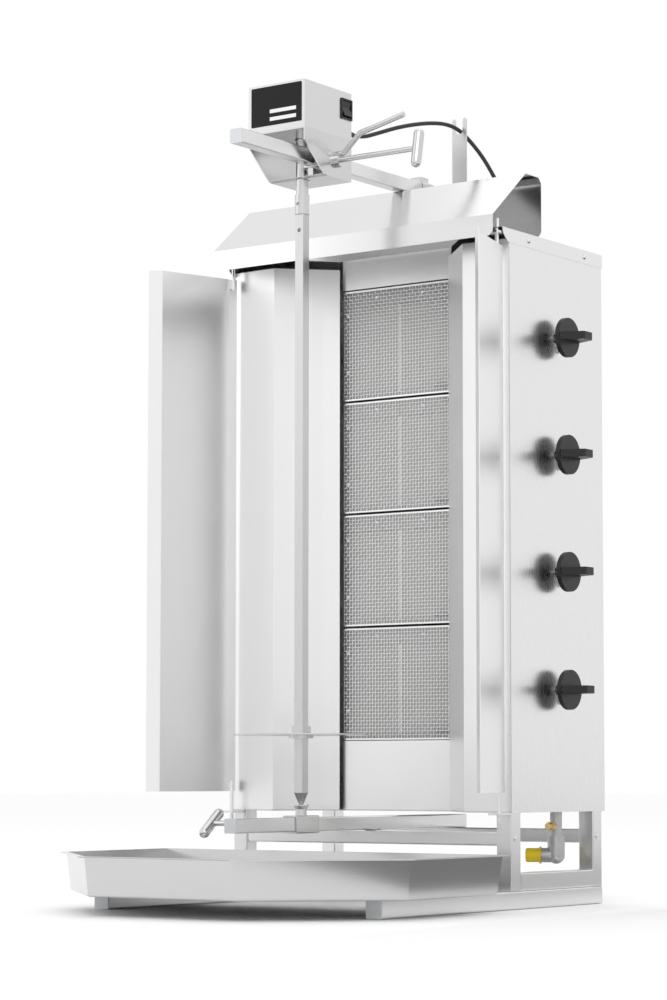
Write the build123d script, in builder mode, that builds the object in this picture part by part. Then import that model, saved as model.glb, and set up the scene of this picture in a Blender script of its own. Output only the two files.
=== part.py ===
from build123d import *
import math
import os

# Vertical gas broiler (gyros / kebab grill): a stand of square tube carries a sheet-steel
# cabinet with a column of ceramic burners, a hood, two heat-shield doors, and a spit that
# hangs from a motor on an upper arm and turns in a cup on a lower arm.
# Millimetres. +Z up, floor at z = 0, X across (symmetry plane x = 0), front towards -Y.

# ---------------------------------------------------------------- driving dimensions
half_w = 245.0          # outer half width of the stand
tube = 25.0             # skid and leg tube
tube_wall = 1.5
skid_y0, skid_y1 = -198.0, 360.0
leg_f0, leg_r1 = 115.0, 362.0
cab_y0, cab_y1 = 115.0, 369.0
cab_z0, cab_z1 = 134.0, 957.0
sheet = 1.0
arm_w = 20.0            # arms and crossbars
arm_wall = 1.5
bar_z0 = 88.0           # underside of the crossbars
low_z0 = bar_z0 + arm_w  # underside of the lower arm
low_y0, low_y1 = -204.0, 359.5
up_x0 = 17.0            # left face of the upper arm
up_z0 = 1045.5
up_y0, up_y1 = -232.0, 200.7
spit_y = -46.0
spit_w = 14.0
spit_z0, spit_z1 = 141.0, 1003.0
disc_r, disc_z = 95.0, 242.0
row_z0, row_pitch, rows = 237.0, 169.0, 4
burner_y = 199.0
knob_z = [308.0, 477.0, 646.0, 816.0]
knob_y = 239.0
man_x, man_y, man_r = 213.0, 286.0, 8.6
elbow_z = 71.0
inlet_turn = 27.0       # inlet branch, degrees from -X towards -Y
pin_x, pin_y, pin_r = 236.0, 98.0, 3.0
door_z0, door_z1 = 162.5, 932.5
screw_len = 149.0       # clamp screw, tip to crossbar axis
screw_r = 4.0
cord_d = 6.0

os.makedirs("parts", exist_ok=True)


def save(name, label):
    name.part.label = label
    export_step(name.part, "parts/" + label + ".step")
    box = name.part.bounding_box()
    print(label, "solids", len(name.part.solids()), "vol", round(name.part.volume / 1000, 1),
          [round(v, 1) for v in (box.min.X, box.min.Y, box.min.Z, box.max.X, box.max.Y, box.max.Z)])


# ---------------------------------------------------------------- side frames: skid, two legs, rail
def tube_z(x0, y0, z0, z1, w=tube, wall=tube_wall):
    with BuildSketch(Plane.XY.offset(z0)) as sk:
        with Locations((x0 + w / 2, y0 + w / 2)):
            RectangleRounded(w, w, 2.0)
            Rectangle(w - 2 * wall, w - 2 * wall, mode=Mode.SUBTRACT)
    extrude(sk.sketch, amount=z1 - z0)


def tube_y(x0, z0, y0, y1, w=tube, wall=tube_wall):
    with BuildSketch(Plane.XZ.offset(-y0)) as sk:
        with Locations((x0 + w / 2, z0 + w / 2)):
            RectangleRounded(w, w, 2.0)
            Rectangle(w - 2 * wall, w - 2 * wall, mode=Mode.SUBTRACT)
    extrude(sk.sketch, amount=-(y1 - y0))


def tube_x(y0, z0, x0, x1, w=arm_w, wall=arm_wall):
    with BuildSketch(Plane.YZ.offset(x0)) as sk:
        with Locations((y0 + w / 2, z0 + w / 2)):
            RectangleRounded(w, w, 1.8)
            Rectangle(w - 2 * wall, w - 2 * wall, mode=Mode.SUBTRACT)
    extrude(sk.sketch, amount=x1 - x0)


for side, sx in (("left", -1), ("right", 1)):
    x0 = half_w - tube if sx > 0 else -half_w
    with BuildPart() as side_frame:
        tube_y(x0, 0, skid_y0, skid_y1)
        tube_z(x0, leg_f0, tube, cab_z0)
        tube_z(x0, leg_r1 - tube, tube, cab_z0)
        tube_y(x0, tube, leg_f0 + tube, leg_r1 - tube)
    save(side_frame, "side_frame_" + side)

with BuildPart() as crossbars:
    tube_x(leg_f0 + 2.5, bar_z0, -(half_w - tube), half_w - tube)
    tube_x(leg_r1 - 22.5, bar_z0, -(half_w - tube), half_w - tube)
save(crossbars, "crossbars")

with BuildPart() as lower_arm:
    tube_y(-arm_w / 2, low_z0, low_y0, low_y1, arm_w, arm_wall)
save(lower_arm, "lower_arm")
with BuildPart() as upper_arm:
    tube_y(up_x0, up_z0, up_y0, up_y1, arm_w, arm_wall)
save(upper_arm, "upper_arm")

# mast: upright tube, base plate on the top cover and a brace plate
mast_y = up_y1
with BuildPart() as arm_mast:
    tube_z(up_x0, mast_y, cab_z1 + 5, 1071, arm_w, arm_wall)
    with BuildSketch(Plane.XY.offset(cab_z1 + 1)):
        with Locations((up_x0 + 10, mast_y + 14)):
            RectangleRounded(62, 27, 4)
    extrude(amount=4)
    with BuildSketch(Plane.XZ.offset(-(mast_y + 2))):
        with BuildLine():
            Polyline((up_x0 + 20, 1066), (up_x0 + 23, 1066), (up_x0 + 52, 1053), (up_x0 + 52, 1046), (up_x0 + 20, 1046), close=True)
        make_face()
    extrude(amount=-3)
save(arm_mast, "arm_mast")


# plastic end plugs of the open tubes: a thin head and a shank inside the tube
def plug_y(xc, zc, y, w, wall, out):
    with BuildSketch(Plane.XZ.offset(-y)) as head:
        with Locations((xc, zc)):
            RectangleRounded(w, w, 1.8)
    extrude(head.sketch, amount=-2.0 * out)
    with BuildSketch(Plane.XZ.offset(-y)) as shank:
        with Locations((xc, zc)):
            Rectangle(w - 2 * wall - 0.4, w - 2 * wall - 0.4)
    extrude(shank.sketch, amount=9.0 * out)


with BuildPart() as tube_end_caps:
    for xc in (-half_w + tube / 2, half_w - tube / 2):
        plug_y(xc, tube / 2, skid_y0, tube, tube_wall, -1)
        plug_y(xc, tube / 2, skid_y1, tube, tube_wall, 1)
save(tube_end_caps, "skid_end_caps")

with BuildPart() as arm_caps:
    plug_y(0, low_z0 + arm_w / 2, low_y0, arm_w, arm_wall, -1)
    plug_y(up_x0 + arm_w / 2, up_z0 + arm_w / 2, up_y0, arm_w, arm_wall, -1)
    with BuildSketch(Plane.XY.offset(1071)):
        with Locations((up_x0 + 10, mast_y + 10)):
            RectangleRounded(arm_w, arm_w, 1.8)
    extrude(amount=2.5)
    with BuildSketch(Plane.XY.offset(1071)):
        with Locations((up_x0 + 10, mast_y + 10)):
            Rectangle(arm_w - 2 * arm_wall - 0.4, arm_w - 2 * arm_wall - 0.4)
    extrude(amount=-9)
save(arm_caps, "arm_end_caps")

# ---------------------------------------------------------------- cabinet sheets
for side, sx in (("left", -1), ("right", 1)):
    with BuildPart() as side_panel:
        with BuildSketch(Plane.YZ.offset(sx * half_w)):
            with Locations(((cab_y0 + cab_y1) / 2, (cab_z0 + cab_z1) / 2)):
                Rectangle(cab_y1 - cab_y0, cab_z1 - cab_z0)
            if sx > 0:
                for z in knob_z:
                    with Locations((knob_y, z)):
                        Circle(7.0, mode=Mode.SUBTRACT)
                    with Locations((knob_y + 6, z - 16)):
                        Circle(3.5, mode=Mode.SUBTRACT)
        extrude(amount=sx * sheet)
    save(side_panel, "side_panel_" + side)

# side reflector: front-facing wing, 45 degree wing, short inner wing
refl = [(half_w, 113.8), (169.0, 111.0), (116.5, 164.0), (98.0, 181.0)]
for side, sx in (("left", -1), ("right", 1)):
    with BuildPart() as reflector:
        with BuildSketch(Plane.XY.offset(cab_z0 + 2)):
            with BuildLine() as rl:
                Polyline([(sx * x, y) for x, y in refl])
                offset(amount=sheet, side=Side.RIGHT if sx > 0 else Side.LEFT)
            make_face()
        extrude(amount=944 - cab_z0 - 2)
    save(reflector, "reflector_" + side)

cavity = [(-168.2, 112.4), (-98.5, 182.0), (98.5, 182.0), (168.2, 112.4)]
with BuildPart() as floor_panel:
    with BuildSketch(Plane.XY.offset(cab_z0)):
        with BuildLine():
            Polyline([(-half_w, 115.0), (-171.5, 112.2), (-100.5, 183.2), (-100.5, 190.0), (100.5, 190.0), (100.5, 183.2), (171.5, 112.2),
                      (half_w, 115.0), (half_w, cab_y1 - 1), (-half_w, cab_y1 - 1)], close=True)
        make_face()
        with Locations((man_x, man_y)):
            Circle(11, mode=Mode.SUBTRACT)
        with Locations((0, 300)):
            with GridLocations(44, 24, 7, 3):
                SlotOverall(32, 8, mode=Mode.SUBTRACT)
    extrude(amount=2)
save(floor_panel, "floor_panel")

with BuildPart() as rear_panel:
    with BuildSketch(Plane.XZ.offset(-(cab_y1 - 1))):
        with Locations((0, (cab_z0 + cab_z1) / 2)):
            Rectangle(2 * half_w, cab_z1 - cab_z0)
    extrude(amount=-1)
save(rear_panel, "rear_panel")

with BuildPart() as top_cover:
    with BuildSketch(Plane.XY.offset(cab_z1)):
        with BuildLine():
            Polyline([(-247, 95), (-172, 95), (-172, 111.0), (-99.5, 183.4), (99.5, 183.4), (172, 111.0), (172, 95), (247, 95), (247, 370), (-247, 370)], close=True)
        make_face()
        with Locations((-pin_x, pin_y), (pin_x, pin_y)):
            Circle(pin_r + 0.06, mode=Mode.SUBTRACT)
    extrude(amount=sheet)
    for x in (-247, 246):
        with BuildSketch(Plane.YZ.offset(x)):
            with BuildLine():
                Polyline((95, cab_z1), (370, cab_z1), (370, 938), (111.5, 938))
                ThreePointArc((111.5, 938), (101.8, 945.5), (95, cab_z1))
            make_face()
        extrude(amount=1)
    with BuildSketch(Plane.XZ.offset(-369)):
        with Locations((0, 947.5)):
            Rectangle(492, 19)
    extrude(amount=-1)
save(top_cover, "top_cover")

top_z = row_z0 + rows * row_pitch
with BuildPart() as front_panels:
    with Locations((0, 189.5, (136 + row_z0) / 2)):
        Box(196, 1.0, row_z0 - 136)
    with Locations((0, 189.5, (top_z + cab_z1) / 2)):
        Box(196, 1.0, cab_z1 - top_z)
save(front_panels, "front_panels")

# ---------------------------------------------------------------- burners
with BuildPart() as burner_bodies:
    for i in range(rows):
        z0 = row_z0 + i * row_pitch
        zc = (z0 + 3 + z0 + 166) / 2
        # cast rim with the window for the tiles and a plain strip above it
        with BuildSketch(Plane.XZ.offset(-burner_y)):
            with Locations((0, zc)):
                RectangleRounded(196, 163, 4)
            with Locations((0, z0 + 76)):
                Rectangle(185.2, 133, mode=Mode.SUBTRACT)
        extrude(amount=-4)
        # mixing box behind the tiles, open towards them
        with BuildSketch(Plane.XZ.offset(-(burner_y + 4))):
            with Locations((0, z0 + 76)):
                Rectangle(193, 142)
                Rectangle(187, 136, mode=Mode.SUBTRACT)
        extrude(amount=-26)
        with BuildSketch(Plane.XZ.offset(-(burner_y + 30))):
            with Locations((0, z0 + 76)):
                Rectangle(193, 142)
        extrude(amount=-3)
        # horizontal mixing tube cast on the back
        with BuildSketch(Plane.YZ.offset(-60)):
            with Locations((burner_y + 44, knob_z[i])):
                Circle(13)
                Circle(10, mode=Mode.SUBTRACT)
        extrude(amount=190)
        with BuildSketch(Plane.YZ.offset(-63)):
            with Locations((burner_y + 44, knob_z[i])):
                Circle(13)
        extrude(amount=3)
save(burner_bodies, "burner_bodies")

with BuildPart() as ceramic_plaques:
    for i in range(rows):
        z0 = row_z0 + i * row_pitch
        with Locations((-46.4, burner_y + 7, z0 + 76), (46.4, burner_y + 7, z0 + 76)):
            Box(92.0, 13.0, 132.0)
save(ceramic_plaques, "ceramic_plaques")

with BuildPart() as burner_guards:
    for i in range(rows):
        z0 = row_z0 + i * row_pitch
        with BuildSketch(Plane.XZ.offset(-188.5)):
            with Locations((0, z0 + 84.5)):
                RectangleRounded(192, 165, 6)
                with GridLocations(12.4, 12.4, 15, 13):
                    Rectangle(10.8, 10.8, mode=Mode.SUBTRACT)
        extrude(amount=-1.6)
        # four standoff lugs to the burner rim
        with Locations(*[(x, (190.1 + burner_y) / 2, z) for x in (-93, 93) for z in (z0 + 40, z0 + 130)]):
            Box(5, burner_y - 190.1, 6)
save(burner_guards, "burner_guards")

# ---------------------------------------------------------------- gas train
inj_y = burner_y + 44
with BuildPart() as gas_injectors:
    for i in range(rows):
        with BuildSketch(Plane.YZ.offset(134)):
            with Locations((inj_y, knob_z[i])):
                RegularPolygon(8, 6)
        extrude(amount=14)
        with BuildSketch(Plane.YZ.offset(148)):
            with Locations((inj_y, knob_z[i])):
                Circle(4)
        extrude(amount=46)
save(gas_injectors, "gas_injectors")

with BuildPart() as gas_taps:
    for i in range(rows):
        z = knob_z[i]
        with BuildSketch(Plane.YZ.offset(204)):
            with Locations((knob_y, z)):
                Circle(13)
        extrude(amount=34)
        with BuildSketch(Plane.YZ.offset(194)):
            with Locations((inj_y, z)):
                Circle(7)
        extrude(amount=10)
        with BuildSketch(Plane.XZ.offset(-(knob_y + 8))):
            with Locations((man_x, z)):
                Circle(7)
        extrude(amount=-(man_y - man_r - knob_y - 8))
        # spindle bore
        with BuildSketch(Plane.YZ.offset(216)):
            with Locations((knob_y, z)):
                Circle(4.05)
        extrude(amount=30, mode=Mode.SUBTRACT)
save(gas_taps, "gas_taps")

with BuildPart() as gas_manifold:
    with BuildSketch(Plane.XY.offset(84)):
        with Locations((man_x, man_y)):
            Circle(man_r)
            Circle(man_r - 2.3, mode=Mode.SUBTRACT)
    extrude(amount=756)
    with BuildSketch(Plane.XY.offset(840)):
        with Locations((man_x, man_y)):
            Circle(man_r)
    extrude(amount=3)
save(gas_manifold, "gas_manifold")

ia = math.radians(inlet_turn)
bx, by = -math.cos(ia), -math.sin(ia)
branch = Plane(origin=(man_x, man_y, elbow_z), x_dir=(0, 0, 1), z_dir=(bx, by, 0))
with BuildPart() as gas_elbow:
    with BuildSketch(Plane.XY.offset(elbow_z)):
        with Locations((man_x, man_y)):
            Circle(12.5)
    extrude(amount=27)
    with Locations((man_x, man_y, elbow_z)):
        Sphere(12.5)
    with BuildSketch(branch):
        Circle(10.5)
    extrude(amount=21)
    with BuildSketch(branch.offset(21)):
        Circle(8.3)
    extrude(amount=17)
    # socket for the pipe and the way through
    with BuildSketch(Plane.XY.offset(84)):
        with Locations((man_x, man_y)):
            Circle(man_r)
    extrude(amount=20, mode=Mode.SUBTRACT)
    with BuildSketch(Plane.XY.offset(elbow_z)):
        with Locations((man_x, man_y)):
            Circle(6.0)
    extrude(amount=20, mode=Mode.SUBTRACT)
    with BuildSketch(branch):
        Circle(6.0)
    extrude(amount=50, mode=Mode.SUBTRACT)
save(gas_elbow, "gas_elbow")

with BuildPart() as inlet_cap:
    with BuildSketch(branch.offset(21.5)):
        Circle(12.4)
        Circle(8.4, mode=Mode.SUBTRACT)
    extrude(amount=2.5)
    with BuildSketch(branch.offset(24)):
        Circle(10.2)
        Circle(8.4, mode=Mode.SUBTRACT)
    extrude(amount=17)
    with BuildSketch(branch.offset(41)):
        Circle(10.2)
    extrude(amount=3)
    chamfer(inlet_cap.faces().sort_by(Axis((0, 0, 0), (bx, by, 0)))[-1].edges(), 1.5)
save(inlet_cap, "inlet_cap")

with BuildPart() as test_nipple:
    with BuildSketch(Plane.XZ.offset(-(man_y - man_r + 0.6))):
        with Locations((man_x, 113)):
            RegularPolygon(7.2, 6)
    extrude(amount=9)
    with BuildSketch(Plane.XZ.offset(-(man_y - man_r - 8.4))):
        with Locations((man_x, 113)):
            Circle(5)
    extrude(amount=6)
    with BuildSketch(Plane.XY.offset(100)):
        with Locations((man_x, man_y)):
            Circle(man_r + 0.01)
    extrude(amount=26, mode=Mode.SUBTRACT)
save(test_nipple, "test_nipple")

with BuildPart() as thermocouples:
    for i in range(rows):
        z = row_z0 + i * row_pitch + 14
        with BuildLine():
            FilletPolyline((64, 195, z), (106, 195, z), (152, 214, z + 18), (190, 224, z + 44), radius=12)
        with BuildSketch(Plane(origin=(64, 195, z), z_dir=(1, 0, 0))):
            Circle(1.8)
        sweep()
save(thermocouples, "thermocouples")

# ---------------------------------------------------------------- hood and cord fork
with BuildPart() as canopy:
    with BuildSketch(Plane.YZ.offset(-249)):
        with BuildLine():
            Polyline((66, 941), (66, 971), (153.5, 1044.3), (189, 1044.3), (196.5, 1036.5), (196.5, 958))
            offset(amount=sheet, side=Side.RIGHT)
        make_face()
    extrude(amount=498)
    # rounded lower corners of the front lip and of the rear plate
    canopy_edges = canopy.edges().filter_by(Axis.Y).group_by(Axis.Z)[0]
    fillet([e for e in canopy.edges().filter_by(Axis.Y) if e.center().Y < 70 and e.center().Z < 950], 9)
    fillet([e for e in canopy.edges().filter_by(Axis.Y) if e.center().Y > 190 and e.center().Z < 965], 10)
save(canopy, "canopy")

fork_x0, fork_x1 = 94.0, 119.0
with BuildPart() as cable_fork:
    with BuildSketch(Plane.XZ.offset(-198.2)):
        with BuildLine():
            Polyline((fork_x0, 985), (fork_x0, 1149), (fork_x0 + 3, 1152), (fork_x0 + 6, 1149), (fork_x0 + 6, 1134.2))
            ThreePointArc((fork_x0 + 6, 1134.2), (fork_x0 + 12.2, 1128), (fork_x0 + 18.4, 1134.2))
            Polyline((fork_x0 + 18.4, 1134.2), (fork_x0 + 18.4, 1149), (fork_x0 + 21.7, 1152), (fork_x1, 1149), (fork_x1, 985), (fork_x0, 985))
        make_face()
        with Locations((106.5, 1000), (106.5, 1022)):
            Circle(2.6, mode=Mode.SUBTRACT)
    extrude(amount=-2)
save(cable_fork, "cable_fork")

# hinge tabs: four drilled plates, the pins drop through them
with BuildPart() as hinge_tabs:
    for sx in (-1, 1):
        for z0, y1 in ((131.0, leg_f0), (949.0, 126.0)):
            with BuildSketch(Plane.XY.offset(z0)):
                with Locations((sx * 234.5, (86 + y1) / 2)):
                    RectangleRounded(21, y1 - 86, 3)
                with Locations((sx * pin_x, pin_y)):
                    Circle(pin_r + 0.06, mode=Mode.SUBTRACT)
            extrude(amount=3)
save(hinge_tabs, "hinge_tabs")


def dome_screw(x, y, z, axis, r=4.0, h=2.2):
    pl = Plane(origin=(x, y, z), z_dir=axis)
    with BuildSketch(pl) as base:
        Circle(r)
    extrude(base.sketch, amount=h * 0.45)
    with BuildSketch(pl.offset(h * 0.45)) as cap:
        Circle(r)
    extrude(cap.sketch, amount=h * 0.55, taper=38)


with BuildPart() as panel_screws:
    for sx in (-1, 1):
        for y in (leg_f0 + tube / 2, leg_r1 - tube / 2):
            dome_screw(sx * half_w, y, 98, (sx, 0, 0), 4.6)
        for y in (166, 320):
            dome_screw(sx * 247, y, 948, (sx, 0, 0), 3.6)
    for z in (1000, 1022):
        dome_screw(106.5, 200.2, z, (0, 1, 0), 4.2)
    for x in (3, 51):
        dome_screw(x, mast_y + 14, cab_z1 + 5, (0, 0, 1), 4.2)
    for i in range(rows):
        for x in (-42, 42):
            dome_screw(x, burner_y, row_z0 + i * row_pitch + 155, (0, -1, 0), 3.6)
save(panel_screws, "panel_screws")

with BuildPart() as bypass_bushes:
    for z in knob_z:
        with BuildSketch(Plane.YZ.offset(half_w + sheet)):
            with Locations((knob_y + 6, z - 16)):
                Circle(5)
                Circle(2.6, mode=Mode.SUBTRACT)
        extrude(amount=1.5)
        with BuildSketch(Plane.YZ.offset(half_w - 2)):
            with Locations((knob_y + 6, z - 16)):
                Circle(3.45)
                Circle(2.6, mode=Mode.SUBTRACT)
        extrude(amount=3)
save(bypass_bushes, "bypass_bushes")

# ---------------------------------------------------------------- motor carriage
case_x, case_y0, case_y1, case_z0, case_z1 = 49.5, -107.0, 5.0, 1090.0, 1158.0
up_screw_y, up_screw_z = -28.0, up_z0 + arm_w / 2
with BuildPart() as motor_bracket:
    # two cheeks joined by a floor under the arm and a plate under the case
    with BuildSketch(Plane.YZ.offset(-case_x)):
        with BuildLine():
            Polyline((case_y0, case_z0), (case_y0, 1071), (-68, 1037), (-60, 1031), (-52, 1029.5), (case_y1, 1029.5), (case_y1, case_z0), close=True)
        make_face()
    extrude(amount=2 * case_x)
    with BuildSketch(Plane.YZ.offset(-case_x + 2)):
        with BuildLine():
            Polyline((case_y0 - 5, case_z0 - 2), (case_y0 - 5, 1020), (-72, 1020), (-68, 1031.5), (case_y1 + 5, 1031.5), (case_y1 + 5, case_z0 - 2), close=True)
        make_face()
    extrude(amount=2 * case_x - 4, mode=Mode.SUBTRACT)
    # guide sleeve round the arm, on a web
    with BuildSketch(Plane.XZ.offset(62)):
        with Locations((up_x0 + arm_w / 2, up_z0 + arm_w / 2)):
            RectangleRounded(arm_w + 5.6, arm_w + 5.6, 2.5)
        with Locations((up_x0 + arm_w / 2, 1036)):
            Rectangle(8, 10)
    extrude(amount=-60)
    with BuildSketch(Plane.XZ.offset(70)):
        with Locations((up_x0 + arm_w / 2, up_z0 + arm_w / 2)):
            Rectangle(arm_w + 0.6, arm_w + 0.6)
    extrude(amount=-80, mode=Mode.SUBTRACT)
    # threaded boss of the clamp screw, through the cheek to the sleeve
    with BuildSketch(Plane.YZ.offset(up_x0 + arm_w + 1.6)):
        with Locations((up_screw_y, up_screw_z)):
            Circle(8)
    extrude(amount=case_x - up_x0 - arm_w - 1.6)
    with BuildSketch(Plane.YZ.offset(case_x)):
        with Locations((up_screw_y, up_screw_z)):
            Circle(10.5)
    extrude(amount=7)
    # bent rod welded on the boss, for pulling the carriage along the arm
    with BuildLine():
        FilletPolyline((case_x + 0.5, up_screw_y, 1064.3), (60.5, up_screw_y, 1064.3), (88, up_screw_y, 1089.4), (163.4, up_screw_y, 1106.3), radius=8)
    with BuildSketch(Plane(origin=(case_x + 0.5, up_screw_y, 1064.3), z_dir=(1, 0, 0))):
        Circle(4)
    sweep()
    with BuildSketch(Plane.YZ.offset(up_x0 + arm_w)):
        with Locations((up_screw_y, up_screw_z)):
            Circle(screw_r + 0.06)
    extrude(amount=40, mode=Mode.SUBTRACT)
    # clearance holes for the drive tube
    with BuildSketch(Plane.XY.offset(1028)):
        with Locations((0, spit_y)):
            Circle(11)
    extrude(amount=64, mode=Mode.SUBTRACT)
save(motor_bracket, "motor_bracket")


exit_x, exit_z = 38.0, 1103.0
sw_y, sw_z = -8.0, 1132.5
with BuildPart() as motor_case:
    with Locations((0, (case_y0 + case_y1) / 2, (case_z0 + case_z1) / 2)):
        Box(2 * case_x, case_y1 - case_y0, case_z1 - case_z0)
    fillet(motor_case.edges().filter_by(Axis.Y).group_by(Axis.Z)[-1], 1.6)
    with Locations((0, (case_y0 + case_y1) / 2, (case_z0 + case_z1) / 2 - 1)):
        Box(2 * case_x - 2.4, case_y1 - case_y0 - 2.4, case_z1 - case_z0, mode=Mode.SUBTRACT)
    with Locations((case_x, sw_y, sw_z)):
        Box(10, 24, 26, mode=Mode.SUBTRACT)
    with BuildSketch(Plane.XZ.offset(-(case_y1 - 5))):
        with Locations((exit_x, exit_z)):
            Circle(4.0)
    extrude(amount=-10, mode=Mode.SUBTRACT)
save(motor_case, "motor_case")

with BuildPart() as data_plate:
    with BuildSketch(Plane.XZ.offset(-case_y0)):
        with Locations((0, 1126.8)):
            RectangleRounded(88, 56, 1.5)
    extrude(amount=0.8)
save(data_plate, "data_plate")

with BuildPart() as gear_motor:
    with BuildSketch(Plane.XY.offset(case_z0)):
        with Locations((0, spit_y - 8)):
            RectangleRounded(64, 82, 6)
    extrude(amount=22)
    with BuildSketch(Plane.XY.offset(case_z0 + 22)):
        with Locations((0, spit_y - 12)):
            Circle(26)
    extrude(amount=34)
    with BuildSketch(Plane.XY.offset(case_z0)):
        with Locations((0, spit_y)):
            Circle(9.05)
    extrude(amount=16, mode=Mode.SUBTRACT)
save(gear_motor, "gear_motor")

with BuildPart() as switch_bezel:
    with BuildSketch(Plane.YZ.offset(case_x)):
        with Locations((sw_y, sw_z)):
            RectangleRounded(26, 30, 1.2)
            Rectangle(20.6, 24.6, mode=Mode.SUBTRACT)
    extrude(amount=2)
    with BuildSketch(Plane.YZ.offset(case_x - 14)):
        with Locations((sw_y, sw_z)):
            Rectangle(23.6, 25.6)
            Rectangle(20.6, 24.6, mode=Mode.SUBTRACT)
    extrude(amount=14)
    with BuildSketch(Plane.YZ.offset(case_x - 16)):
        with Locations((sw_y, sw_z)):
            Rectangle(23.6, 25.6)
    extrude(amount=2)
    # pivot studs of the rocker
    for s in (-1, 1):
        with BuildSketch(Plane.XZ.offset(-(sw_y + s * 10.4))):
            with Locations((case_x - 3, sw_z)):
                Circle(1.6)
        extrude(amount=s * 1.6)
save(switch_bezel, "switch_bezel")

with BuildPart() as switch_rocker:
    with BuildSketch(Plane.XZ.offset(-(sw_y - 9.6))):
        with BuildLine():
            Polyline((case_x - 6, sw_z + 10.6), (case_x + 1.2, sw_z + 11.4), (case_x + 0.4, sw_z + 2), (case_x + 4.6, sw_z - 10.2),
                     (case_x - 1.5, sw_z - 11.4), (case_x - 6, sw_z - 8), close=True)
        make_face()
    extrude(amount=-19.2)
    with BuildSketch(Plane.XZ.offset(-(sw_y - 12))):
        with Locations((case_x - 3, sw_z)):
            Circle(1.65)
    extrude(amount=-24, mode=Mode.SUBTRACT)
save(switch_rocker, "switch_rocker")


# clamp screw: M8 shaft with a round-ended crossbar
def clamp_screw(x, y, z, out, lean):
    with BuildSketch(Plane.YZ.offset(x)) as shaft:
        with Locations((y, z)):
            Circle(screw_r)
    extrude(shaft.sketch, amount=out * (screw_len - 5))
    bar = Plane(origin=(x + out * screw_len, y, z), x_dir=(1, 0, 0), z_dir=(0, math.sin(math.radians(lean)), math.cos(math.radians(lean))))
    with BuildSketch(bar.offset(-21)) as grip:
        Circle(7.5)
    extrude(grip.sketch, amount=42)
    for s in (-21, 21):
        with Locations(bar.offset(s).location):
            Sphere(7.5)


with BuildPart() as upper_clamp_screw:
    clamp_screw(up_x0 + arm_w + 0.3, up_screw_y, up_screw_z, 1, 10)
save(upper_clamp_screw, "upper_clamp_screw")
with BuildPart() as lower_clamp_screw:
    clamp_screw(-arm_w / 2 - 0.3, spit_y, low_z0 + arm_w / 2, -1, 51)
save(lower_clamp_screw, "lower_clamp_screw")

# ---------------------------------------------------------------- spit
with BuildPart() as drive_socket:
    with BuildSketch(Plane.XY.offset(980)):
        with Locations((0, spit_y)):
            Circle(10.6)
    extrude(amount=28)
    with BuildSketch(Plane.XY.offset(1008)):
        with Locations((0, spit_y)):
            Circle(9)
    extrude(amount=96)
    with BuildSketch(Plane.XY.offset(980)):
        with Locations((0, spit_y)):
            Rectangle(spit_w, spit_w)
    extrude(amount=spit_z1 - 980, mode=Mode.SUBTRACT)
    with BuildSketch(Plane.XZ.offset(-spit_y)):
        with Locations((0, 994)):
            Circle(2.5)
    extrude(amount=14, both=True, mode=Mode.SUBTRACT)
save(drive_socket, "drive_socket")

with BuildPart() as spit:
    with BuildSketch(Plane.XY.offset(162)):
        with Locations((0, spit_y)):
            Rectangle(spit_w, spit_w)
    extrude(amount=spit_z1 - 162)
    with BuildSketch(Plane.XY.offset(162)):
        with Locations((0, spit_y)):
            Rectangle(spit_w, spit_w)
    with BuildSketch(Plane.XY.offset(spit_z0)):
        with Locations((0, spit_y)):
            Rectangle(1.6, 1.6)
    loft()
    with BuildSketch(Plane.XZ.offset(-spit_y)):
        with Locations((0, 957)):
            Circle(3)
    extrude(amount=12, both=True, mode=Mode.SUBTRACT)
save(spit, "spit")

with BuildPart() as meat_plate:
    with BuildSketch(Plane.XY.offset(disc_z)):
        with Locations((0, spit_y)):
            Circle(disc_r)
    extrude(amount=2)
    with BuildSketch(Plane.XY.offset(disc_z - 4)):
        with Locations((0, spit_y)):
            Circle(17)
    extrude(amount=4)
    with BuildSketch(Plane.XY.offset(disc_z + 2)):
        with Locations((0, spit_y)):
            Rectangle(19, 19)
    extrude(amount=11)
    with BuildSketch(Plane.XY.offset(disc_z - 6)):
        with Locations((0, spit_y)):
            Rectangle(spit_w + 0.6, spit_w + 0.6)
    extrude(amount=30, mode=Mode.SUBTRACT)
save(meat_plate, "meat_plate")

# ---------------------------------------------------------------- lower carriage
cup_z = low_z0 + arm_w + 2.5
with BuildPart() as lower_sleeve:
    with BuildSketch(Plane.XZ.offset(-(spit_y - 26))):
        with Locations((0, low_z0 + arm_w / 2)):
            RectangleRounded(arm_w + 5, arm_w + 5, 2.5)
            Rectangle(arm_w + 0.6, arm_w + 0.6, mode=Mode.SUBTRACT)
    extrude(amount=-52)
    with BuildSketch(Plane.YZ.offset(-arm_w / 2 - 10)):
        with Locations((spit_y, low_z0 + arm_w / 2)):
            Circle(8)
    extrude(amount=8.5)
    with BuildSketch(Plane.YZ.offset(-arm_w / 2 - 0.2)):
        with Locations((spit_y, low_z0 + arm_w / 2)):
            Circle(screw_r + 0.06)
    extrude(amount=-20, mode=Mode.SUBTRACT)
    # turned cup for the point of the spit, welded on top
    with BuildSketch(Plane.XZ.offset(-spit_y)):
        with BuildLine():
            Polyline((0, cup_z), (8, cup_z), (8, cup_z + 8.5), (11.4, cup_z + 13.5), (11.4, cup_z + 15), (7.2, cup_z + 14.2), (2.2, cup_z + 9.2), (0, cup_z + 9.2), (0, cup_z))
        make_face()
    revolve(axis=Axis((0, spit_y, 0), (0, 0, 1)))
save(lower_sleeve, "lower_sleeve")

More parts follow.
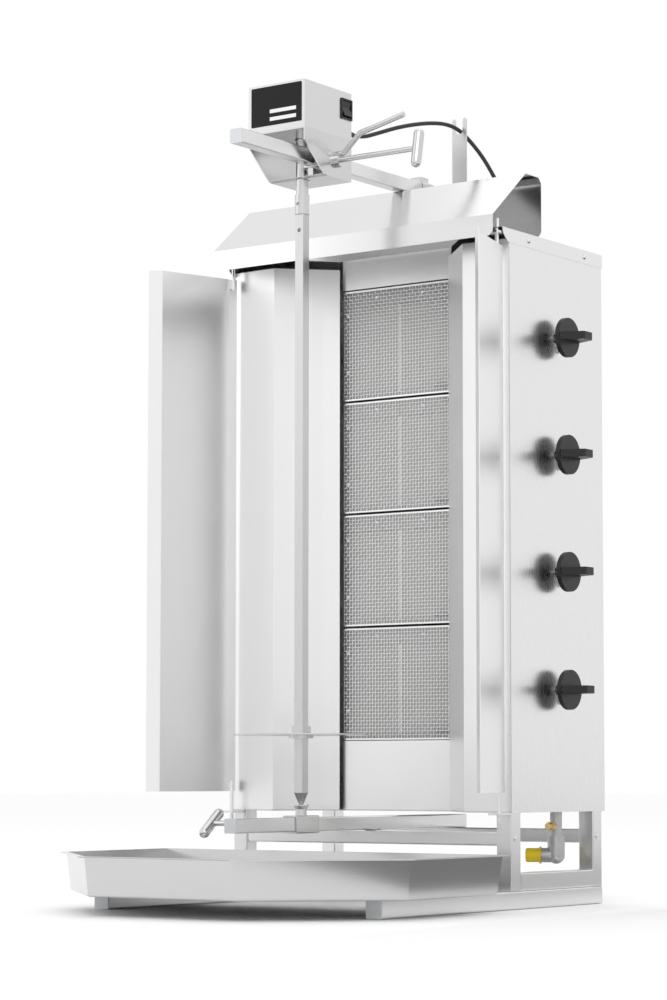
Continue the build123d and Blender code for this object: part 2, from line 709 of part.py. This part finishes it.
# ---------------------------------------------------------------- doors with welded lift-off pins
door_pts = [(238.5, 108.6), (244.5, 90.5), (277.7, -20.3), (291.7, -34.3)]
for side, sx in (("left", -1), ("right", 1)):
    with BuildPart() as door:
        with BuildSketch(Plane.XY.offset(door_z0)):
            with BuildLine():
                Polyline([(sx * x, y) for x, y in door_pts])
                offset(amount=1.2, side=Side.LEFT if sx < 0 else Side.RIGHT)
            make_face()
        extrude(amount=door_z1 - door_z0)
        for z0, z1 in ((122.0, 178.0), (916.0, 971.0)):
            with BuildSketch(Plane.XY.offset(z0)):
                with Locations((sx * pin_x, pin_y)):
                    Circle(pin_r)
            extrude(amount=z1 - z0)
        for z in (door_z0, door_z1 - 15):
            with BuildSketch(Plane.XY.offset(z)):
                with Locations((sx * (pin_x + 3.2), pin_y)):
                    Rectangle(4.6, 3)
            extrude(amount=15)
    save(door, "door_" + side)

# ---------------------------------------------------------------- knobs and tap spindles
for i in range(rows):
    with BuildPart() as tap_spindle:
        with BuildSketch(Plane.YZ.offset(220)):
            with Locations((knob_y, knob_z[i])):
                Circle(4)
        extrude(amount=50)
        with BuildSketch(Plane.YZ.offset(250)):
            with Locations((knob_y, knob_z[i])):
                Circle(5.5)
        extrude(amount=3)
    save(tap_spindle, "tap_spindle_" + str(i + 1))
    with BuildPart() as knob:
        # hub, skirt disc and a horizontal wing grip that narrows outwards
        with BuildSketch(Plane.YZ.offset(254)):
            with Locations((knob_y, knob_z[i])):
                Circle(9)
        extrude(amount=8)
        with BuildSketch(Plane.YZ.offset(262)):
            with Locations((knob_y, knob_z[i])):
                Circle(28.6)
        extrude(amount=7)
        with BuildSketch(Plane.XY.offset(knob_z[i] - 5.5)):
            with BuildLine():
                Polyline((268, knob_y - 26), (300, knob_y - 12), (301, knob_y - 9), (301, knob_y + 9), (300, knob_y + 12), (268, knob_y + 26), close=True)
            make_face()
        extrude(amount=11)
        with BuildSketch(Plane.YZ.offset(253)):
            with Locations((knob_y, knob_z[i])):
                Circle(4.05)
        extrude(amount=19, mode=Mode.SUBTRACT)
    save(knob, "knob_" + str(i + 1))

# ---------------------------------------------------------------- drip pan
pan_rim = [(-303, 25), (-303, -208), (-128, -370), (128, -370), (303, -208), (303, 25)]
with BuildPart() as drip_pan:
    # bowl with sloping walls
    with BuildSketch(Plane.XY.offset(79)):
        with BuildLine():
            Polyline(pan_rim, close=True)
        make_face()
        offset(amount=-9, mode=Mode.REPLACE)
    with BuildSketch(Plane.XY.offset(25.2)):
        with BuildLine():
            Polyline(pan_rim, close=True)
        make_face()
        offset(amount=-15, mode=Mode.REPLACE)
    loft()
    fillet(drip_pan.faces().sort_by(Axis.Z)[0].edges(), 3)
    # turned-out rim
    with BuildSketch(Plane.XY.offset(77.5)):
        with BuildLine():
            Polyline(pan_rim, close=True)
        make_face()
    extrude(amount=1.5)
    # inside of the bowl
    with BuildSketch(Plane.XY.offset(79.2)):
        with BuildLine():
            Polyline(pan_rim, close=True)
        make_face()
        offset(amount=-10.2, mode=Mode.REPLACE)
    with BuildSketch(Plane.XY.offset(26.4)):
        with BuildLine():
            Polyline(pan_rim, close=True)
        make_face()
        offset(amount=-16.2, mode=Mode.REPLACE)
    loft(mode=Mode.SUBTRACT)
save(drip_pan, "drip_pan")

# ---------------------------------------------------------------- cord
relief_len = 20.0
with BuildPart() as strain_relief:
    with BuildSketch(Plane.XZ.offset(-case_y1)):
        with Locations((exit_x, exit_z)):
            Circle(6)
    extrude(amount=-2)
    with BuildSketch(Plane.XZ.offset(-(case_y1 + 2))):
        with Locations((exit_x, exit_z)):
            Circle(4.8)
    with BuildSketch(Plane.XZ.offset(-(case_y1 + relief_len))):
        with Locations((exit_x, exit_z)):
            Circle(3.6)
    loft()
    with BuildSketch(Plane.XZ.offset(-(case_y1 - 4))):
        with Locations((exit_x, exit_z)):
            Circle(3.9)
    extrude(amount=-4)
save(strain_relief, "strain_relief")

route = [
    (exit_x, case_y1 + relief_len, exit_z),
    (38.0, 47.0, 1103.0),
    (47.5, 68.0, 1110.5),
    (65.0, 95.0, 1123.0),
    (79.0, 125.0, 1132.8),
    (90.0, 153.0, 1138.9),
    (99.0, 178.0, 1140.0),
    (106.2, 199.2, 1133.8),
    (113.5, 217.0, 1120.0),
    (122.5, 235.0, 1100.0),
    (132.0, 249.5, 1074.0),
    (142.0, 263.0, 1043.0),
    (151.0, 279.0, 1012.0),
    (160.0, 303.0, 986.0),
    (171.0, 333.0, 972.5),
    (180.0, 358.0, 968.5),
    (188.0, 380.0, 962.0),
    (192.5, 397.0, 945.0),
    (194.5, 405.0, 918.0),
    (195.8, 407.6, 872.0),
    (196.0, 408.8, 806.0),
    (196.0, 410.0, 728.0),
    (195.8, 411.1, 646.0),
    (195.4, 411.9, 564.0),
    (194.9, 412.2, 482.0),
    (194.1, 412.0, 400.0),
    (193.1, 411.4, 318.0),
    (192.0, 410.5, 238.0),
    (190.8, 409.4, 160.0),
    (189.8, 408.5, 98.0),
    (188.0, 409.2, 58.0),
    (183.0, 411.5, 27.0),
    (168.0, 413.5, 8.6),
    (147.0, 415.0, 3.2),
    (123.0, 416.0, 3.3),
    (100.0, 415.5, 3.2),
]


def fillet_radii(pts):
    out = []
    for a, b, c in zip(pts, pts[1:], pts[2:]):
        u, v = Vector(b) - Vector(a), Vector(c) - Vector(b)
        turn = math.radians(u.get_angle(v))
        out.append(0.45 * min(u.length, v.length) / math.tan(turn / 2))
    return out


radii = fillet_radii(route)
print("cord radii", [round(r) for r in radii])
print("cord runs", [round((Vector(b) - Vector(a)).length) for a, b in zip(route, route[1:])])
with BuildPart() as cord_tube:
    with BuildLine() as cord_path:
        FilletPolyline(*route, radius=radii)
    with BuildSketch(Plane(origin=route[0], z_dir=Vector(route[1]) - Vector(route[0]))):
        Circle(cord_d / 2)
    sweep()
path_len = sum(e.length for e in cord_path.edges())
print("cord tube length", round(path_len, 1), "volume ratio", round(cord_tube.part.volume / (math.pi * (cord_d / 2) ** 2 * path_len), 4))
save(cord_tube, "cord_tube")

coil_c = (100.0, 446.0)
coil_h = 12.4
with BuildPart() as cord_coil:
    with BuildSketch(Plane.XY.offset(0.2)):
        with Locations(coil_c):
            Circle(37.5)
            Circle(22.5, mode=Mode.SUBTRACT)
    extrude(amount=coil_h - 0.2)
save(cord_coil, "cord_coil")

# mains plug lying beside the coil: nose, body and two round pins
plug_y0, plug_z0 = coil_c[1] - 30.5, 13.0
with BuildPart() as plug:
    with BuildSketch(Plane.YZ.offset(82)):
        with Locations((plug_y0, plug_z0)):
            Circle(3.8)
    with BuildSketch(Plane.YZ.offset(62)):
        with Locations((plug_y0, plug_z0)):
            Circle(5.5)
    loft()
    with BuildSketch(Plane.YZ.offset(62)):
        with Locations((plug_y0, plug_z0)):
            RectangleRounded(26, 18, 6)
    with BuildSketch(Plane.YZ.offset(44)):
        with Locations((plug_y0, plug_z0)):
            RectangleRounded(36, 25, 9)
    loft()
    with BuildSketch(Plane.YZ.offset(44)):
        with Locations((plug_y0, plug_z0)):
            RectangleRounded(36, 25, 9)
    extrude(amount=-26)
    with BuildSketch(Plane.YZ.offset(18)):
        with Locations((plug_y0 - 9.5, plug_z0), (plug_y0 + 9.5, plug_z0)):
            Circle(2.4)
    extrude(amount=-19)
save(plug, "plug")
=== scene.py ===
import bpy
import math
from mathutils import Vector, Matrix


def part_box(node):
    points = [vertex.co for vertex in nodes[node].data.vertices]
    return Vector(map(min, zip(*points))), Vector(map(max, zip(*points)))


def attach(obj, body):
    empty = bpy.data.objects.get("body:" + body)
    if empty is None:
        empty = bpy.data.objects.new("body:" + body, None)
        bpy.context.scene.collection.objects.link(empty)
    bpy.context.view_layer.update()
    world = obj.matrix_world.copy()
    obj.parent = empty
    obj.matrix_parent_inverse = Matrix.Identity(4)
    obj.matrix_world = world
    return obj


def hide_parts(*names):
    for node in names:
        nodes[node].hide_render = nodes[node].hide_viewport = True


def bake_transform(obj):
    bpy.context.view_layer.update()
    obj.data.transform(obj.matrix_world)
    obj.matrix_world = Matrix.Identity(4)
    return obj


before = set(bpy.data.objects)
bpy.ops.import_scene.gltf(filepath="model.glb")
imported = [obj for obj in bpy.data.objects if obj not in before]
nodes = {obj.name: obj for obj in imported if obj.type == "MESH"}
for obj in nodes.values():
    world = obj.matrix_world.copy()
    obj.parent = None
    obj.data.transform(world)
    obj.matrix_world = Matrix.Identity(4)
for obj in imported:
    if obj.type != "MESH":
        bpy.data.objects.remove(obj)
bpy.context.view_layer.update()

# ------------------------------------------------------------------ camera
cam_data = bpy.data.cameras.new("camera")
cam = bpy.data.objects.new("camera", cam_data)
bpy.context.scene.collection.objects.link(cam)
bpy.context.scene.camera = cam
cam_data.sensor_width = 36.0
cam_data.sensor_fit = "AUTO"
cam_data.lens = 100.83
cam_data.shift_x = -0.0305
cam_data.shift_y = 0.0417
cam_data.clip_end = 60
cam.location = (2.34664, -3.19754, 0.18954)
az, pitch = math.radians(35.39), math.radians(4.72)
look = Vector((-math.sin(az) * math.cos(pitch), math.cos(az) * math.cos(pitch), math.sin(pitch)))
cam.rotation_euler = look.to_track_quat("-Z", "Y").to_euler()


# ------------------------------------------------------------------ helpers
def link(obj):
    bpy.context.scene.collection.objects.link(obj)
    return obj


def mesh_obj(name, verts, faces, smooth=False):
    me = bpy.data.meshes.new(name)
    me.from_pydata([tuple(v) for v in verts], [], faces)
    me.update()
    if smooth:
        me.polygons.foreach_set("use_smooth", [True] * len(me.polygons))
    return link(bpy.data.objects.new(name, me))


def new_mat(name, color, metallic=0.0, rough=0.5, **more):
    m = bpy.data.materials.new(name)
    m.use_nodes = True
    b = m.node_tree.nodes["Principled BSDF"]
    b.inputs["Base Color"].default_value = (*color, 1)
    b.inputs["Metallic"].default_value = metallic
    b.inputs["Roughness"].default_value = rough
    for k, v in more.items():
        b.inputs[k.replace("_", " ")].default_value = v
    return m


def steel(name, color, rough, grain=(1, 1, 60), bump=0.015, spread=0.08, scale=18):
    """Brushed steel: fine streaks in roughness and a faint bump, stretched along the grain."""
    m = new_mat(name, color, 1.0, rough)
    nt = m.node_tree
    b = nt.nodes["Principled BSDF"]
    tc = nt.nodes.new("ShaderNodeTexCoord")
    mp = nt.nodes.new("ShaderNodeMapping")
    mp.inputs["Scale"].default_value = grain
    nz = nt.nodes.new("ShaderNodeTexNoise")
    nz.inputs["Scale"].default_value = scale
    nz.inputs["Detail"].default_value = 4
    rg = nt.nodes.new("ShaderNodeMapRange")
    rg.inputs["To Min"].default_value = rough - spread
    rg.inputs["To Max"].default_value = rough + spread
    bp = nt.nodes.new("ShaderNodeBump")
    bp.inputs["Strength"].default_value = bump
    bp.inputs["Distance"].default_value = 0.0004
    nt.links.new(tc.outputs["Object"], mp.inputs["Vector"])
    nt.links.new(mp.outputs["Vector"], nz.inputs["Vector"])
    nt.links.new(nz.outputs["Fac"], rg.inputs["Value"])
    nt.links.new(rg.outputs["Result"], b.inputs["Roughness"])
    nt.links.new(nz.outputs["Fac"], bp.inputs["Height"])
    nt.links.new(bp.outputs["Normal"], b.inputs["Normal"])
    return m


def speckled(name, color, dark, rough, scale, bump, dist=0.0005):
    m = new_mat(name, color, 0.0, rough)
    nt = m.node_tree
    b = nt.nodes["Principled BSDF"]
    tc = nt.nodes.new("ShaderNodeTexCoord")
    nz = nt.nodes.new("ShaderNodeTexNoise")
    nz.inputs["Scale"].default_value = scale
    nz.inputs["Detail"].default_value = 5
    mx = nt.nodes.new("ShaderNodeMix")
    mx.data_type = "RGBA"
    mx.inputs["A"].default_value = (*dark, 1)
    mx.inputs["B"].default_value = (*color, 1)
    bp = nt.nodes.new("ShaderNodeBump")
    bp.inputs["Strength"].default_value = bump
    bp.inputs["Distance"].default_value = dist
    nt.links.new(tc.outputs["Object"], nz.inputs["Vector"])
    nt.links.new(nz.outputs["Fac"], mx.inputs["Factor"])
    nt.links.new(mx.outputs["Result"], b.inputs["Base Color"])
    nt.links.new(nz.outputs["Fac"], bp.inputs["Height"])
    nt.links.new(bp.outputs["Normal"], b.inputs["Normal"])
    return m


# ------------------------------------------------------------------ materials
m_panel = steel("steel_panel", (0.78, 0.78, 0.78), 0.27, (1, 70, 1), 0.004, 0.03)
m_case = steel("steel_case", (0.66, 0.66, 0.66), 0.27, (1, 70, 1), 0.004, 0.03)
m_door_right = steel("steel_door_right", (0.84, 0.84, 0.84), 0.34, (40, 40, 1), 0.01, 0.04)
m_refl = steel("steel_reflector", (0.88, 0.88, 0.88), 0.36, (40, 40, 1), 0.01, 0.04)
m_door = steel("steel_door", (0.84, 0.84, 0.84), 0.20, (40, 40, 1), 0.01, 0.04)
m_hood = steel("steel_hood", (0.76, 0.76, 0.76), 0.17, (1, 60, 60), 0.01, 0.04)
m_tube = steel("steel_tube", (0.74, 0.74, 0.74), 0.24, (60, 1, 60), 0.006, 0.03)
m_pan = steel("steel_pan", (0.60, 0.60, 0.60), 0.18, (1, 1, 50), 0.005, 0.03)
m_round = steel("steel_round", (0.62, 0.62, 0.62), 0.22, (60, 60, 1), 0.01, 0.05)
m_inner = steel("steel_inner", (0.62, 0.62, 0.62), 0.25, (50, 50, 1), 0.01, 0.05)
m_wire = new_mat("guard_wire", (0.90, 0.90, 0.90), 1.0, 0.33)
m_cast = speckled("cast_burner", (0.58, 0.58, 0.57), (0.44, 0.44, 0.43), 0.5, 120, 0.1)
m_ceramic = speckled("ceramic", (0.62, 0.615, 0.605), (0.45, 0.445, 0.44), 0.85, 700, 0.35)
m_seam = new_mat("tile_cement", (0.85, 0.85, 0.84), 0.0, 0.9)
m_brass = new_mat("brass", (0.80, 0.62, 0.30), 1.0, 0.28)
m_zinc = speckled("zinc_pipe", (0.60, 0.60, 0.60), (0.48, 0.48, 0.49), 0.35, 90, 0.08)
m_zinc.node_tree.nodes["Principled BSDF"].inputs["Metallic"].default_value = 0.8
m_screw = new_mat("screw_steel", (0.72, 0.72, 0.72), 1.0, 0.2)
m_yellow = new_mat("yellow_plastic", (0.95, 0.72, 0.02), 0.0, 0.38)
m_white = new_mat("pale_plastic", (0.62, 0.63, 0.65), 0.0, 0.4)
m_plate = new_mat("plate_black", (0.008, 0.008, 0.008), 0.0, 0.35, Specular_IOR_Level=0.2)
m_bar = new_mat("plate_pale", (0.80, 0.80, 0.80), 0.0, 0.5)
m_black = new_mat("switch_black", (0.008, 0.008, 0.008), 0.0, 0.22, Specular_IOR_Level=0.35)
m_knob = speckled("knob_charcoal", (0.016, 0.016, 0.017), (0.009, 0.009, 0.010), 0.38, 900, 0.10, 0.0002)
m_knob.node_tree.nodes["Principled BSDF"].inputs["Specular IOR Level"].default_value = 0.35
m_gear = new_mat("gear_housing", (0.14, 0.15, 0.16), 0.3, 0.5)
m_cord = new_mat("cord_rubber", (0.022, 0.023, 0.025), 0.0, 0.42, Specular_IOR_Level=0.4)

by_node = {
    "side_frame_left": m_tube, "side_frame_right": m_tube, "crossbars": m_tube, "lower_arm": m_tube,
    "upper_arm": m_tube, "arm_mast": m_round, "skid_end_caps": m_white, "arm_end_caps": m_white,
    "side_panel_left": m_panel, "side_panel_right": m_panel, "reflector_left": m_refl, "reflector_right": m_refl,
    "floor_panel": m_inner, "rear_panel": m_panel, "top_cover": m_panel, "front_panels": m_refl,
    "burner_bodies": m_cast, "ceramic_plaques": m_ceramic, "burner_guards": m_wire,
    "gas_injectors": m_brass, "gas_taps": m_brass, "gas_manifold": m_zinc, "gas_elbow": m_zinc,
    "test_nipple": m_brass, "thermocouples": m_zinc, "canopy": m_hood, "cable_fork": m_round,
    "hinge_tabs": m_panel, "panel_screws": m_screw, "bypass_bushes": m_white, "inlet_cap": m_yellow,
    "motor_bracket": m_round, "motor_case": m_case, "data_plate": m_plate, "gear_motor": m_gear,
    "switch_bezel": m_black, "switch_rocker": m_black, "upper_clamp_screw": m_round, "lower_clamp_screw": m_round,
    "drive_socket": m_round, "spit": m_round, "meat_plate": m_round, "lower_sleeve": m_round,
    "door_left": m_door, "door_right": m_door_right, "drip_pan": m_pan, "strain_relief": m_cord, "plug": m_cord,
}
for i in range(1, 5):
    by_node["tap_spindle_%d" % i] = m_zinc
    by_node["knob_%d" % i] = m_knob
for name, mat in by_node.items():
    ob = nodes[name]
    for s in ob.material_slots:
        s.material = mat

# small rolled edges on the pieces that catch the light
rounded = {
    "knob_1": 0.0012, "knob_2": 0.0012, "knob_3": 0.0012, "knob_4": 0.0012, "switch_rocker": 0.0006, "switch_bezel": 0.0004,
    "data_plate": 0.0003, "top_cover": 0.0003, "motor_case": 0.0004,
}
for name, w in rounded.items():
    md = nodes[name].modifiers.new("edge", "BEVEL")
    md.width = w
    md.segments = 2
    md.limit_method = "ANGLE"
    md.angle_limit = math.radians(40)
    md.use_clamp_overlap = True

# ------------------------------------------------------------------ cord
route = [
    (0.0380, 0.0250, 1.1030), (0.0385, 0.0450, 1.1032), (0.0505, 0.0660, 1.1115), (0.0675, 0.0930, 1.1232),
    (0.0790, 0.1240, 1.1325), (0.0900, 0.1530, 1.1385), (0.0990, 0.1780, 1.1400), (0.1062, 0.1992, 1.1345),
    (0.1135, 0.2170, 1.1200), (0.1225, 0.2350, 1.1000), (0.1320, 0.2495, 1.0740), (0.1420, 0.2630, 1.0430),
    (0.1510, 0.2790, 1.0120), (0.1600, 0.3030, 0.9860), (0.1710, 0.3330, 0.9725), (0.1800, 0.3580, 0.9692),
    (0.1880, 0.3800, 0.9630), (0.1925, 0.3970, 0.9450), (0.1945, 0.4050, 0.9180), (0.1958, 0.4076, 0.8720),
    (0.1960, 0.4088, 0.8060), (0.1960, 0.4100, 0.7280), (0.1958, 0.4111, 0.6460), (0.1954, 0.4119, 0.5640),
    (0.1949, 0.4122, 0.4820), (0.1941, 0.4120, 0.4000), (0.1931, 0.4114, 0.3180), (0.1920, 0.4105, 0.2380),
    (0.1908, 0.4094, 0.1600), (0.1898, 0.4085, 0.0980), (0.1880, 0.4092, 0.0580), (0.1830, 0.4115, 0.0270),
    (0.1680, 0.4135, 0.0086), (0.1470, 0.4135, 0.0034), (0.1230, 0.4125, 0.0032),
]
cx, cy = 0.100, 0.446
turns = [(0.0338, 0.0032), (0.0276, 0.0032), (0.0306, 0.0092)]
per = 14
for k in range(3 * per):
    a = -math.pi / 2 - 2 * math.pi * (k + 0.5) / per
    t = (k + 0.5) / per
    i = int(t)
    f = t - i
    r0, z0 = turns[i]
    nxt = turns[min(i + 1, 2)]
    w = max(0.0, (f - 0.72) / 0.28)
    w = w * w * (3 - 2 * w)
    r, z = r0 + (nxt[0] - r0) * w, z0 + (nxt[1] - z0) * w
    route.append((cx + r * math.cos(a), cy + r * math.sin(a), z))
route += [(0.0930, 0.4154, 0.0098), (0.0860, 0.4155, 0.0118), (0.0810, 0.4155, 0.0130)]

cd = bpy.data.curves.new("cord_line", "CURVE")
cd.dimensions = "3D"
sp = cd.splines.new("NURBS")
sp.points.add(len(route) - 1)
for p, c in zip(sp.points, route):
    p.co = (*c, 1)
sp.order_u = 3
sp.use_endpoint_u = True
sp.resolution_u = 6
line_obj = link(bpy.data.objects.new("cord_line", cd))
dg = bpy.context.evaluated_depsgraph_get()
bare = bpy.data.meshes.new_from_object(line_obj.evaluated_get(dg))
cd.bevel_depth = 0.003
cd.bevel_resolution = 4
cd.use_fill_caps = True
bpy.context.view_layer.update()
dg = bpy.context.evaluated_depsgraph_get()
tube_me = bpy.data.meshes.new_from_object(line_obj.evaluated_get(dg))
tube_me.name = "cord"
tube_me.materials.clear()
tube_me.materials.append(m_cord)
tube_me.polygons.foreach_set("use_smooth", [True] * len(tube_me.polygons))
bpy.data.objects.remove(line_obj)
cord = link(bpy.data.objects.new("cord", tube_me))
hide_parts("cord_tube", "cord_coil")
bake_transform(cord)

# ------------------------------------------------------------------ woven wire guards
row_z0, pitch_z = 0.237, 0.169
gw, gh, cell, wire = 0.194, 0.1655, 0.0052, 0.00062
g_y = 0.1900


def guard_mesh():
    verts, faces = [], []

    def strand(points, n_dir):
        base = len(verts)
        for i, p in enumerate(points):
            a = points[max(i - 1, 0)]
            b = points[min(i + 1, len(points) - 1)]
            d = (Vector(b) - Vector(a)).normalized()
            u = Vector(n_dir)
            v = d.cross(u).normalized()
            u = v.cross(d).normalized()
            for k in range(5):
                t = 2 * math.pi * k / 5
                verts.append(Vector(p) + wire * (math.cos(t) * u + math.sin(t) * v))
        for i in range(len(points) - 1):
            for k in range(5):
                a0, a1 = base + 5 * i + k, base + 5 * i + (k + 1) % 5
                faces.append((a0, a1, a1 + 5, a0 + 5))

    nx, nz = int(gw / cell), int(gh / cell)
    x0, z0 = -cell * nx / 2, (gh - cell * nz) / 2
    for i in range(nx + 1):
        x = x0 + i * cell
        pts = []
        for j in range(2 * nz + 1):
            z = z0 + j * cell / 2
            off = 0.0 if j % 2 else (wire * 0.95 if (i + j // 2) % 2 else -wire * 0.95)
            pts.append((x, g_y + off, z))
        strand(pts, (0, 1, 0))
    for j in range(nz + 1):
        z = z0 + j * cell
        pts = []
        for i in range(2 * nx + 1):
            x = x0 + i * cell / 2
            off = 0.0 if i % 2 else (-wire * 0.95 if (i // 2 + j) % 2 else wire * 0.95)
            pts.append((x, g_y + off, z))
        strand(pts, (0, 1, 0))
    # flat edge strips that bind the weave
    def slab(xa, xb, za, zb, ya=g_y - 0.0011, yb=g_y + 0.0013):
        b = len(verts)
        for x in (xa, xb):
            for y in (ya, yb):
                for z in (za, zb):
                    verts.append((x, y, z))
        for q in ((0, 1, 3, 2), (4, 6, 7, 5), (0, 4, 5, 1), (2, 3, 7, 6), (0, 2, 6, 4), (1, 5, 7, 3)):
            faces.append(tuple(b + n for n in q))
    slab(-gw / 2, gw / 2, 0.0, 0.0022)
    slab(-gw / 2, gw / 2, gh - 0.0022, gh)
    slab(-gw / 2, -gw / 2 + 0.002, 0.0, gh)
    slab(gw / 2 - 0.002, gw / 2, 0.0, gh)
    # legs to the burner rim
    for x in (-0.093, 0.090):
        for z in (0.040, 0.128):
            slab(x, x + 0.004, z, z + 0.006, g_y + 0.001, 0.1988)
    return verts, faces


gv, gf = guard_mesh()
guards = []
for i in range(4):
    z0 = row_z0 + i * pitch_z + 0.0012
    g = mesh_obj("wire_guard_%d" % (i + 1), [(v[0], v[1], v[2] + z0) for v in gv], gf)
    g.data.materials.append(m_wire)
    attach(g, "cabinet")
    guards.append(g)
for g in guards:
    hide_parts("burner_guards")

# cement seam between the two tiles of a row
for i in range(4):
    zc = row_z0 + i * pitch_z + 0.076
    bpy.ops.mesh.primitive_cube_add(size=1)
    s = bpy.context.object
    s.name = "tile_seam_%d" % (i + 1)
    s.data.transform(Matrix.Translation((0, 0.2035, zc)) @ Matrix.Diagonal((0.0040, 0.010, 0.1318, 1)))
    s.data.materials.append(m_seam)
    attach(s, "cabinet")

# index dot on each knob, pale bars on the data plate
knob_z = [0.308, 0.477, 0.646, 0.816]
for i, z in enumerate(knob_z, 1):
    bpy.ops.mesh.primitive_cylinder_add(radius=0.0019, depth=0.0006, vertices=20)
    d = bpy.context.object
    d.name = "index_dot_%d" % i
    d.data.transform(Matrix.Translation((0.2693, 0.2155, z)) @ Matrix.Rotation(math.pi / 2, 4, "Y"))
    d.data.materials.append(m_bar)
    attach(d, "knob_%d" % i)
lo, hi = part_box("data_plate")
for k, (zc, h) in enumerate(((1.1185, 0.0052), (1.1075, 0.0052))):
    bpy.ops.mesh.primitive_cube_add(size=1)
    b = bpy.context.object
    b.name = "plate_bar_%d" % (k + 1)
    b.data.transform(Matrix.Translation((0.012, lo[1] - 0.0001, zc)) @ Matrix.Diagonal((0.046, 0.0004, h, 1)))
    b.data.materials.append(m_bar)
    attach(b, "motor_carriage")

# ------------------------------------------------------------------ stage
bpy.ops.mesh.primitive_plane_add(size=30, location=(0, 4, -0.0005))
floor = bpy.context.object
floor.name = "floor"
floor.data.materials.append(new_mat("floor_white", (0.97, 0.97, 0.97), 0.0, 0.7))


def card(name, loc, target, size, color, strength):
    """A large soft panel beside the set, seen only in reflections."""
    bpy.ops.mesh.primitive_plane_add(size=1)
    c = bpy.context.object
    c.name = name
    c.scale = (size[0], size[1], 1)
    c.location = loc
    c.rotation_euler = (Vector(target) - Vector(loc)).to_track_quat("Z", "Y").to_euler()
    m = bpy.data.materials.new(name)
    m.use_nodes = True
    nt = m.node_tree
    nt.nodes.clear()
    e = nt.nodes.new("ShaderNodeEmission")
    e.inputs["Color"].default_value = (*color, 1)
    e.inputs["Strength"].default_value = strength
    o = nt.nodes.new("ShaderNodeOutputMaterial")
    nt.links.new(e.outputs[0], o.inputs[0])
    c.data.materials.append(m)
    c.visible_camera = False
    c.visible_shadow = False
    c.visible_diffuse = False
    return c


card("card_floor_far", (-3.7, -4.2, 0.003), (-3.7, -4.2, 2), (2.0, 3.0), (0.55, 0.55, 0.56), 1.0)
card("card_floor_right", (1.15, 0.5, 0.002), (1.15, 0.5, 2), (1.5, 2.4), (0.26, 0.26, 0.265), 1.0)
card("card_floor_front", (-0.6, -1.9, 0.002), (-0.6, -1.9, 2), (2.4, 1.9), (0.58, 0.58, 0.59), 1.0)


def area(name, loc, target, size, power):
    ld = bpy.data.lights.new(name, "AREA")
    ld.shape = "RECTANGLE"
    ld.size, ld.size_y = size
    ld.energy = power
    lo_ = link(bpy.data.objects.new(name, ld))
    lo_.location = loc
    lo_.rotation_euler = (Vector(target) - Vector(loc)).to_track_quat("-Z", "Y").to_euler()
    return lo_


area("key", (1.8, -3.0, 3.2), (0, 0, 0.6), (2.4, 2.0), 26)
area("fill", (-2.8, -2.4, 2.2), (0, 0, 0.6), (1.6, 2.6), 8)
area("top", (0, 0.6, 3.6), (0, 0, 0.6), (3.0, 2.4), 14)

world = bpy.data.worlds.new("world")
bpy.context.scene.world = world
world.use_nodes = True
bg = world.node_tree.nodes["Background"]
bg.inputs["Color"].default_value = (1.0, 1.0, 1.0, 1)
bg.inputs["Strength"].default_value = 1.0
bpy.context.scene.view_settings.view_transform = "Standard"
